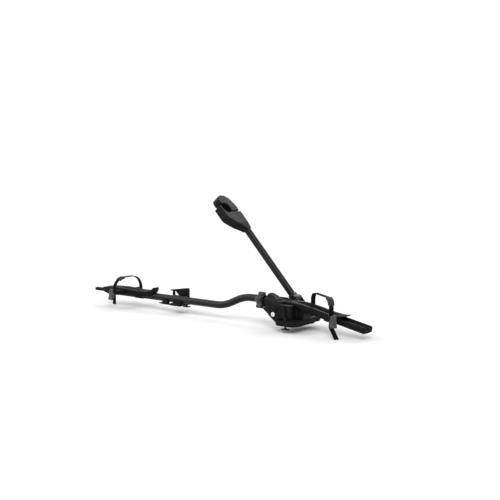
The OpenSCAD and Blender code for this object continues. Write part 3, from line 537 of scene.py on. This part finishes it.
def swept(name: str, path: Sequence[Matrix], section: Sequence[Point2]) -> bpy.types.Mesh:
    """Sweeps a closed section along a row of frames and caps both ends.

    Args:
        name: the mesh's name.
        path: frames whose X and Y axes carry the section.
        section: the section's points, anticlockwise, in metres.

    Returns:
        The closed mesh.
    """
    shape = bmesh.new()
    rings = [[shape.verts.new(at @ Vector((x, y, 0))) for x, y in section] for at in path]
    count = len(section)
    for first, second in zip(rings, rings[1:]):
        for i in range(count):
            j = (i + 1) % count
            shape.faces.new((first[i], first[j], second[j], second[i]))
    shape.faces.new(list(reversed(rings[0])))
    shape.faces.new(rings[-1])
    bmesh.ops.recalc_face_normals(shape, faces=shape.faces)
    mesh = bpy.data.meshes.new(name)
    shape.to_mesh(mesh)
    shape.free()
    return mesh


def between(start: Point2, end: Point2, share: float) -> Point2:
    """Returns the point at a share of the way from one point to another."""
    return start[0] + (end[0] - start[0]) * share, start[1] + (end[1] - start[1]) * share


def rounded_section(width: float, height: float, radius: float, steps: int = 4) -> list[Point2]:
    """Outline of a rectangle with round corners, anticlockwise about its centre."""
    points: list[Point2] = []
    for corner, (sx, sy) in enumerate(((1, 1), (-1, 1), (-1, -1), (1, -1))):
        for i in range(steps + 1):
            angle = math.radians(90 * corner + 90 * i / steps)
            x = sx * (width / 2 - radius) + radius * math.cos(angle)
            points.append((x, sy * (height / 2 - radius) + radius * math.sin(angle)))
    return points


@dataclass
class Rail:
    """The bent tube, the flat front rail and their end caps."""

    cap_edge_mm: float = 1.5

    def build(self) -> None:
        """Dresses the tubes and rounds the end caps."""
        dress(POWDER_COAT, ["rail_tube"])
        dress(MATT_COAT, ["front_rail"])
        dress(BLACK_OXIDE, ["rail_screws"])
        for cap in ("rear_end_cap", "front_end_cap"):
            mesh = softened(cap, self.cap_edge_mm)
            add_piece(cap + "_moulding", mesh, NYLON, "carrier_base", [cap])


@dataclass
class BarPad:
    """A rubber pad under a foot, with ribs across its underside."""

    node: str
    body: str
    blocks: BlockRow
    corner_mm: float = 8.0
    rib_pitch_mm: float = 6.0
    rib_mm: Point2 = (2.6, 1.0)
    bare_end_mm: float = 6.0
    bare_side_mm: float = 9.0

    def build(self) -> None:
        """Builds the pad above its ribs."""
        low, high = (Vector(corner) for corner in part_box(self.node))
        rib_w, rib_h = self.rib_mm
        middle = (low + high) / 2
        size = high - low
        section = rounded_section(size.x, size.y, self.corner_mm * MM)
        floors = [Matrix.Translation((middle.x, middle.y, z)) for z in (low.z + rib_h * MM, high.z)]
        slab = swept(self.node + "_slab", floors, section)
        pitch = self.rib_pitch_mm * MM
        count = int((size.x - 2 * self.bare_end_mm * MM) / pitch)
        start = middle.x - (count - 1) * pitch / 2
        places = [Vector((start + i * pitch, middle.y, low.z + rib_h * MM)) for i in range(count)]
        ribs = self.blocks.make(
            self.node + "_ribs",
            places,
            [Vector()] * count,
            (rib_w, size.y / MM - 2 * self.bare_side_mm, 2 * rib_h),
            RUBBER,
        )
        mesh = shade(joined(self.node + "_ribbed", [slab, ribs]))
        add_piece(self.node + "_ribbed", mesh, RUBBER, self.body, [self.node])


@dataclass
class FrontFoot:
    """The wide front foot, with its bolts and pad."""

    blocks: BlockRow
    edge_mm: float = 3.0

    def build(self) -> None:
        """Rounds the foot and dresses its fasteners."""
        mesh = softened("front_foot", self.edge_mm)
        add_piece("front_foot_moulding", mesh, NYLON, "carrier_base", ["front_foot"])
        dress(BLACK_OXIDE, ["front_t_bolts", "front_clamp_nuts"])
        BarPad("front_bar_pad", "carrier_base", self.blocks).build()


@dataclass
class Housing:
    """The housing over the front foot, with its cover, lock and inner drive."""

    voxel_mm: float = 2.0
    passes: int = 6
    cover_edge_mm: float = 2.0
    guide_mm: Point3 = (-118.0, -38.0, 88.0)
    guide_l_mm: float = 54.0
    guide_r_mm: float = 11.2

    def build(self) -> None:
        """Builds the flowing housing and its cover, and dresses what they hold."""
        skin = moulded_skin("housing_shell", self.voxel_mm, self.passes)
        skin = bored(skin, moved(self.guide_mm), self.guide_l_mm, self.guide_r_mm)
        add_piece("housing_moulding", skin, SATIN_NYLON, "carrier_base", ["housing_shell"])
        cover = softened("housing_cover", self.cover_edge_mm)
        add_piece("cover_moulding", cover, NYLON, "carrier_base", ["housing_cover"])
        dress(BLACK_OXIDE, ["cover_screws"])
        dress(ZINC, ["lock_cam"])
        dress(NICKEL, ["lock_cylinder"])
        dress(DRAWN_STEEL, ["spindle_guide"])
        dress(BRASS, ["spindle_bush", "spindle_traveller"])
        dress(SHEATH, ["base_cable"])


@dataclass
class Knob:
    """The lobed knob that closes the jaws, with its torque limiter."""

    edge_mm: float = 3.0
    cap_edge_mm: float = 1.2

    def build(self) -> None:
        """Rounds the knob's lobes and dresses its inner parts."""
        mesh = softened("torque_knob", self.edge_mm)
        # The knob's paler finish paints a highlight over its lobes.
        add_piece("knob_moulding", mesh, KNOB_NYLON_PAINTED_SHEEN, "knob", ["torque_knob"])
        cap = softened("knob_cap", self.cap_edge_mm)
        add_piece("knob_cap_moulding", cap, ACETAL, "knob", ["knob_cap"])
        dress(DRAWN_STEEL, ["knob_spindle", "torque_spring", "clutch_ring"])


@dataclass
class FoldingArm:
    """The arm's fork, pins, eye, tube and the rod inside."""

    edge_mm: float = 1.5

    def build(self) -> None:
        """Dresses the arm and rounds its castings."""
        dress(POWDER_COAT, ["arm_tube"])
        for node, body in (("pivot_bracket", "carrier_base"), ("arm_eye", "arm")):
            mesh = softened(node, self.edge_mm)
            add_piece(node + "_casting", mesh, POWDER_COAT, body, [node])
        dress(BLACK_OXIDE, ["fold_pins"])
        dress(DRAWN_STEEL, ["pull_rod"])
        dress(SHEATH, ["arm_cable"])


@dataclass
class Claw:
    """The claw at the arm's end: a fixed and a moving jaw with ribbed rubber pads."""

    blocks: BlockRow
    pivot_mm: Point3 = (-50.0, 63.0, 88.0)
    arm_angle: float = 47.5
    grip_up_mm: float = 480.0
    grip_across_mm: float = -63.0
    crank_mm: Point3 = (0.0, 44.0, -57.0)
    crank_r_mm: float = 8.0
    crank_l_mm: float = 9.0
    crank_gap_mm: float = 0.2
    pin_mm: Point2 = (10.5, 2.5)
    pin_root_mm: float = 3.0
    near_arc: Point2 = (-178.0, -78.0)
    far_arc: Point2 = (-24.0, 108.0)
    arc_steps: int = 24
    inner_mm: float = 21.0
    outer_mm: float = 25.0
    half_width_mm: float = 16.0
    rib_mm: float = 1.2
    rib_width_mm: float = 1.6
    rib_sink_mm: float = 0.6
    rib_inset_mm: float = 1.5
    rib_step: float = 7.5
    voxel_mm: float = 1.6
    passes: int = 6

    def place(self) -> Matrix:
        """Returns the frame of the claw's round mouth: X along its axis and Z along the arm."""
        return (
            moved(self.pivot_mm)
            @ Matrix.Rotation(math.radians(self.arm_angle - 90), 4, "Y")
            @ moved((0, self.grip_across_mm, self.grip_up_mm))
        )

    def pad(self, node: str, arc: Point2) -> bpy.types.Mesh:
        """Builds a pad as part of a ring with ribs along the mouth's axis.

        Args:
            node: the pad's CAD node.
            arc: the ring's first and last angle in degrees.

        Returns:
            The ribbed pad.
        """
        place = self.place()
        start, span = arc[0], arc[1] - arc[0]
        face = self.inner_mm + self.rib_mm
        angles = [math.radians(start + span * i / self.arc_steps) for i in range(self.arc_steps + 1)]
        path = [place @ Matrix.Rotation(a, 4, "X") for a in angles]
        half = self.half_width_mm
        section = [(-half, face), (half, face), (half, self.outer_mm), (-half, self.outer_mm)]
        back = swept(node + "_back", path, [(x * MM, y * MM) for x, y in section])
        count = int(span / self.rib_step) - 1
        first = start + (span - (count - 1) * self.rib_step) / 2
        ribs_at = [math.radians(first + i * self.rib_step) for i in range(count)]
        middle = Vector((0, (self.inner_mm + face + self.rib_sink_mm) / 2, 0)) * MM
        frames = [place @ Matrix.Rotation(a, 4, "X") for a in ribs_at]
        ribs = self.blocks.make(
            node + "_ribs",
            [at @ middle for at in frames],
            [Vector(at.to_euler("XYZ")) for at in frames],
            (2 * (half - self.rib_inset_mm), self.rib_mm + self.rib_sink_mm, self.rib_width_mm),
            RUBBER,
        )
        return joined(node + "_ribbed", [back, ribs])

    def moving_jaw(self) -> bpy.types.Mesh:
        """Builds the moving jaw; its crank's face and pin run in the pull rod and keep their true size."""
        pin_l, pin_r = self.pin_mm
        crank = self.place() @ moved(self.crank_mm)
        skin = moulded_skin("far_jaw", self.voxel_mm, self.passes)
        skin = bored(skin, crank @ moved((self.crank_gap_mm, 0, 0)), self.crank_l_mm, self.crank_r_mm)
        pin = shade(round_rod("crank_pin", crank @ moved((-self.pin_root_mm, 0, 0)), pin_l, pin_r))
        return joined("far_jaw_moulding", [skin, pin])

    def build(self) -> None:
        """Builds both jaws and their pads."""
        body = moulded_skin("claw_body", self.voxel_mm, self.passes)
        add_piece("claw_body_moulding", body, SATIN_NYLON, "arm", ["claw_body"])
        jaw = self.moving_jaw()
        add_piece("far_jaw_moulding", jaw, SATIN_NYLON, "jaw", ["far_jaw"])
        near = self.pad("near_jaw_pad", self.near_arc)
        add_piece("near_pad_ribbed", shade(near), RUBBER, "arm", ["near_jaw_pad"])
        far = self.pad("far_jaw_pad", self.far_arc)
        add_piece("far_pad_ribbed", shade(far), RUBBER, "jaw", ["far_jaw_pad"])
        dress(BLACK_OXIDE, ["jaw_pin"])


@dataclass
class MouldedTray:
    """A moulded tray."""

    node: str
    body: str
    edge_mm: float = 1.6

    def build(self) -> None:
        """Rounds the tray's edges."""
        mesh = softened(self.node, self.edge_mm)
        add_piece(self.node + "_moulding", mesh, NYLON, self.body, [self.node])


@dataclass
class ToothedStrap:
    """A toothed strap, with its sleeve and buckle."""

    end: str
    body: str
    lever_body: str
    blocks: BlockRow
    centre_mm: float
    yaw: float
    reach_mm: float
    top_mm: float
    tail_mm: float
    lean_mm: float
    bend_mm: float
    pad_arc: Point2
    foot_mm: float = 40.0
    knee_mm: float = 15.0
    pad_mm: Point3 = (26.0, 5.0, 1.5)
    pad_corner_mm: float = 2.0
    pad_steps: int = 18
    width_mm: float = 20.0
    thick_mm: float = 3.0
    corner_mm: float = 1.0
    tooth_mm: Point3 = (15.0, 1.2, 2.4)
    tooth_sink_mm: float = 0.1
    pitch_mm: float = 5.0
    buckle_mm: Point2 = (36.0, 68.0)
    base_edge_mm: float = 0.8
    lever_edge_mm: float = 1.5
    leg_steps: int = 8
    bend_steps: int = 12
    far_leg_steps: int = 6

    def place(self) -> Matrix:
        """Returns the strap's frame: X across the band, Y from the near leg to the far leg."""
        return moved((self.centre_mm, 0, 0)) @ Matrix.Rotation(math.radians(self.yaw), 4, "Z")

    def frame_at(self, middle: Vector, out: Vector) -> Matrix:
        """Sets a frame on a point of the strap's plane, X across the band and Y along a direction.

        Args:
            middle: the point, in millimetres.
            out: the direction, which lies in the strap's plane.

        Returns:
            The frame in metres.
        """
        across = Vector((1, 0, 0))
        turn = Matrix((across, out, across.cross(out))).transposed().to_4x4()
        return self.place() @ Matrix.Translation(middle * MM) @ turn

    def line(self) -> list[Point2]:
        """Returns the middle line of the band, from its tail to the foot of its far leg."""
        reach = self.reach_mm - self.thick_mm / 2
        radius = self.bend_mm - self.thick_mm / 2
        crown = self.top_mm - self.bend_mm
        inner = self.reach_mm - self.bend_mm
        legs, bends, far_legs = self.leg_steps, self.bend_steps, self.far_leg_steps
        quarter = [math.radians(90 * i / bends) for i in range(bends + 1)]
        tail, knee = (-reach - self.lean_mm, self.tail_mm), (-reach, self.knee_mm)
        points = [between(tail, knee, i / legs) for i in range(legs + 1)]
        points += [between(knee, (-reach, crown), i / legs) for i in range(1, legs + 1)]
        points += [(-inner - radius * math.cos(a), crown + radius * math.sin(a)) for a in quarter[1:]]
        top = crown + radius
        points += [between((-inner, top), (inner, top), i / legs) for i in range(1, legs)]
        points += [(inner + radius * math.sin(a), crown + radius * math.cos(a)) for a in quarter]
        far_foot = (reach, self.foot_mm)
        points += [between((reach, crown), far_foot, i / far_legs) for i in range(1, far_legs + 1)]
        return points

    def frames(self, points: Sequence[Point2]) -> list[Matrix]:
        """Sets a frame on each point, X across the band and Y out of its outer face.

        Args:
            points: the middle line, in millimetres.

        Returns:
            The frames in metres.
        """
        found = []
        for i, (y, z) in enumerate(points):
            back, ahead = points[max(i - 1, 0)], points[min(i + 1, len(points) - 1)]
            along = Vector((0, ahead[0] - back[0], ahead[1] - back[1])).normalized()
            found.append(self.frame_at(Vector((0, y, z)), Vector((0, -along.z, along.y))))
        return found

    def teeth(self, points: Sequence[Point2]) -> bpy.types.Mesh:
        """Sets ratchet teeth on the outer face from the tail to the near corner.

        Args:
            points: the middle line, in millimetres.

        Returns:
            The teeth as one mesh.
        """
        spots: list[Point2] = []
        left = self.pitch_mm
        for here, ahead in zip(points, points[1:]):
            length = math.dist(here, ahead)
            while left <= length:
                spots.append(between(here, ahead, left / length))
                left += self.pitch_mm
            left -= length
        limit = self.top_mm - self.bend_mm
        spots = [p for p in spots if p[0] < 0 and p[1] < limit]
        rows = self.frames(spots)
        kept = [at for at, p in zip(rows, spots) if not self.buckle_mm[0] < p[1] < self.buckle_mm[1]]
        lift = Vector((0, self.thick_mm / 2 - self.tooth_sink_mm, 0)) * MM
        return self.blocks.make(
            self.end + "_teeth",
            [at @ lift for at in kept],
            [Vector(at.to_euler("XYZ")) for at in kept],
            self.tooth_mm,
            RUBBER,
        )

    def sleeve(self) -> bpy.types.Mesh:
        """Builds the sleeve round the near bend, thick on its inner side."""
        width, depth, skin = self.pad_mm
        height = depth + self.thick_mm + skin
        radius = self.bend_mm + skin - height / 2
        middle = Vector((0, -self.reach_mm + self.bend_mm, self.top_mm - self.bend_mm))
        last, first = self.pad_arc
        path = []
        for i in range(self.pad_steps + 1):
            angle = math.radians(first + (last - first) * i / self.pad_steps)
            out = Vector((0, math.cos(angle), math.sin(angle)))
            path.append(self.frame_at(middle + out * radius, out))
        section = rounded_section(width * MM, height * MM, self.pad_corner_mm * MM)
        return swept(self.end + "_rim_pad", path, section)

    def build(self) -> None:
        """Builds the band, its teeth, the sleeve and the buckle."""
        end, body = self.end, self.body
        points = self.line()
        section = rounded_section(self.width_mm * MM, self.thick_mm * MM, self.corner_mm * MM)
        band = swept(end + "_band", self.frames(points), section)
        whole = shade(joined(end + "_toothed_strap", [band, self.teeth(points)]))
        add_piece(end + "_toothed_strap", whole, RUBBER, body, [end + "_strap"])
        sleeve = shade(self.sleeve())
        # The sleeve's paler rubber is partly its own grey and partly a painted highlight.
        add_piece(end + "_rim_sleeve", sleeve, SLEEVE_RUBBER_AND_SHEEN, body, [end + "_rim_pad"])
        node = end + "_buckle_base"
        base = softened(node, self.base_edge_mm)
        add_piece(end + "_buckle_moulding", base, NYLON, body, [node])
        node = end + "_buckle_lever"
        lever = softened(node, self.lever_edge_mm)
        add_piece(end + "_lever_moulding", lever, ACETAL, self.lever_body, [node])
        dress(BLACK_OXIDE, [end + "_strap_screw", end + "_lever_pin"])


@dataclass
class RearFoot:
    """The sliding rear foot with its cam handle."""

    blocks: BlockRow
    edge_mm: float = 2.0
    handle_edge_mm: float = 1.2

    def build(self) -> None:
        """Rounds the foot and the handle, and dresses the bolt."""
        foot = softened("rear_foot", self.edge_mm)
        add_piece("rear_foot_moulding", foot, NYLON, "rear_clamp", ["rear_foot"])
        handle = softened("clamp_handle", self.handle_edge_mm)
        add_piece("clamp_handle_moulding", handle, NYLON, "handle", ["clamp_handle"])
        dress(ZINC, ["rail_nut"])
        dress(BLACK_OXIDE, ["rear_t_bolt", "handle_pin"])
        BarPad("rear_bar_pad", "rear_clamp", self.blocks).build()


@dataclass
class TrayHolds:
    """What holds the trays: the rear tray's keeper and the screws of both."""

    edge_mm: float = 1.2

    def build(self) -> None:
        """Rounds the keeper and dresses the screws."""
        keeper = softened("tray_keeper", self.edge_mm)
        add_piece("tray_keeper_moulding", keeper, NYLON, "rear_wheel_tray", ["tray_keeper"])
        dress(BLACK_OXIDE, ["keeper_screws", "tray_screws"])


@dataclass
class Studio:
    """Pale floor, soft lamps and the camera."""

    floor_m: float = 24.0
    floor_gap_m: float = 0.0005
    fade_m: Point2 = (1.0, 2.4)
    sky_strength: float = 0.55
    lamp_side_m: float = 2.5
    aim_m: Point3 = (-0.4, 0.0, 0.2)
    eye_m: Point3 = (2.3905, -3.5827, 0.8155)
    azimuth: float = 36.267
    elevation: float = 6.814
    roll: float = 0.293
    focal_px: float = 1081.1
    picture_px: float = 500.0

    def plainly_seen(self, tree: bpy.types.NodeTree) -> bpy.types.NodeSocket:
        """Returns a socket that is 1 where the camera, a reflection or clear stuff looks at a surface."""
        path = add_node(tree, "ShaderNodeLightPath").outputs
        seen = path["Is Camera Ray"]
        for ray in ("Is Glossy Ray", "Is Transmission Ray"):
            either = add_node(tree, "ShaderNodeMath", {"operation": "MAXIMUM"}, {0: seen, 1: path[ray]})
            seen = either.outputs[0]
        return seen

    def floor(self) -> None:
        """Lays a pale floor just under the lowest point, which fades to white away from the carrier."""
        paint = bpy.data.materials.new("pale_floor")
        paint.use_nodes = True
        tree = paint.node_tree
        shader = tree.nodes["Principled BSDF"]
        shader.inputs["Base Color"].default_value = linear("#f4f4f4")
        shader.inputs["Roughness"].default_value = 0.9
        shader.inputs["Specular IOR Level"].default_value = 0.1
        place = add_node(tree, "ShaderNodeTexCoord").outputs["Object"]
        far = add_node(tree, "ShaderNodeVectorMath", {"operation": "LENGTH"}, {0: place}).outputs["Value"]
        near_m, far_m = self.fade_m
        fade = add_node(tree, "ShaderNodeMapRange", {"From Min": near_m, "From Max": far_m}, {"Value": far})
        seen = self.plainly_seen(tree)
        share = add_node(tree, "ShaderNodeMath", {"operation": "MULTIPLY"}, {0: fade.outputs[0], 1: seen})
        white = add_node(tree, "ShaderNodeEmission", {"Color": (1, 1, 1, 1), "Strength": 1.0})
        inputs = {0: share.outputs[0], 1: shader.outputs[0], 2: white.outputs[0]}
        mix = add_node(tree, "ShaderNodeMixShader", {}, inputs)
        tree.links.new(mix.outputs[0], tree.nodes["Material Output"].inputs[0])
        half = self.floor_m / 2
        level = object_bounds()[0][2] - self.floor_gap_m
        mesh = bpy.data.meshes.new("floor")
        corners = [(-half, -half, level), (half, -half, level), (half, half, level), (-half, half, level)]
        mesh.from_pydata(corners, [], [(0, 1, 2, 3)])
        mesh.materials.append(paint)
        floor = bpy.data.objects.new("floor", mesh)
        bpy.context.collection.objects.link(floor)
        floor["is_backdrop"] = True

    def sky(self) -> None:
        """Lights the scene evenly and shows white behind it."""
        world = bpy.data.worlds.new("studio")
        world.use_nodes = True
        bpy.context.scene.world = world
        tree = world.node_tree
        tree.nodes.clear()
        soft = add_node(tree, "ShaderNodeBackground", {"Color": (1, 1, 1, 1), "Strength": self.sky_strength})
        white = add_node(tree, "ShaderNodeBackground", {"Color": (1, 1, 1, 1), "Strength": 1.0})
        seen = self.plainly_seen(tree)
        mix = add_node(tree, "ShaderNodeMixShader", {}, {0: seen, 1: soft.outputs[0], 2: white.outputs[0]})
        add_node(tree, "ShaderNodeOutputWorld", {}, {0: mix.outputs[0]})

    def lamp(self, name: str, place: Point3, power: float) -> None:
        """Hangs one square lamp that faces the carrier.

        Args:
            name: the lamp's name.
            place: where it hangs, in metres.
            power: its watts.
        """
        light = bpy.data.lights.new(name, "AREA")
        light.size = self.lamp_side_m
        light.energy = power
        lamp = bpy.data.objects.new(name, light)
        aim = Vector(self.aim_m) - Vector(place)
        lamp.matrix_world = Matrix.Translation(place) @ aim.to_track_quat("-Z", "Y").to_matrix().to_4x4()
        bpy.context.collection.objects.link(lamp)

    def camera(self) -> None:
        """Sets the camera where the picture was taken from."""
        azimuth, elevation, roll = (math.radians(a) for a in (self.azimuth, self.elevation, self.roll))
        level = math.cos(elevation)
        back = Vector((math.sin(azimuth) * level, -math.cos(azimuth) * level, math.sin(elevation)))
        right = Vector((math.cos(azimuth), math.sin(azimuth), 0))
        above = back.cross(right)
        side = math.cos(roll) * right + math.sin(roll) * above
        top = math.cos(roll) * above - math.sin(roll) * right
        turn = Matrix((side, top, back)).transposed().to_4x4()
        lens = bpy.data.cameras.new("camera")
        lens.sensor_fit = "HORIZONTAL"
        lens.lens = lens.sensor_width * self.focal_px / self.picture_px
        eye = bpy.data.objects.new("camera", lens)
        eye.matrix_world = Matrix.Translation(self.eye_m) @ turn
        bpy.context.collection.objects.link(eye)
        bpy.context.scene.camera = eye

    def build(self) -> None:
        """Sets up the floor, the light and the camera."""
        self.floor()
        self.sky()
        self.lamp("key", (2.0, -3.0, 3.2), 120.0)
        self.lamp("fill", (-3.0, -2.0, 2.4), 60.0)
        self.lamp("rim", (-1.0, 3.2, 2.6), 60.0)
        self.camera()
        bpy.context.scene.view_settings.view_transform = "Standard"


def main() -> None:
    """Builds each part of the carrier in order, then the studio round it."""
    logging.basicConfig(level=logging.INFO, format="%(name)s: %(message)s")
    blocks = BlockRow()
    parts = [
        Rail(),
        FrontFoot(blocks),
        Housing(),
        Knob(),
        FoldingArm(),
        Claw(blocks),
        MouldedTray("front_tray", "carrier_base"),
        MouldedTray("rear_tray", "rear_wheel_tray"),
        TrayHolds(),
        ToothedStrap(
            "front",
            "carrier_base",
            "front_lever",
            blocks,
            centre_mm=118,
            yaw=57.7,
            reach_mm=86,
            top_mm=132,
            tail_mm=-22,
            lean_mm=50,
            bend_mm=30,
            pad_arc=(98, 178),
        ),
        ToothedStrap(
            "rear",
            "rear_wheel_tray",
            "rear_lever",
            blocks,
            centre_mm=-925,
            yaw=-7,
            reach_mm=80,
            top_mm=114,
            tail_mm=-5,
            lean_mm=0,
            bend_mm=56,
            pad_arc=(92, 124),
        ),
        RearFoot(blocks),
    ]
    for part in parts:
        part.build()
    Studio().build()


if __name__ == "__main__":
    main()
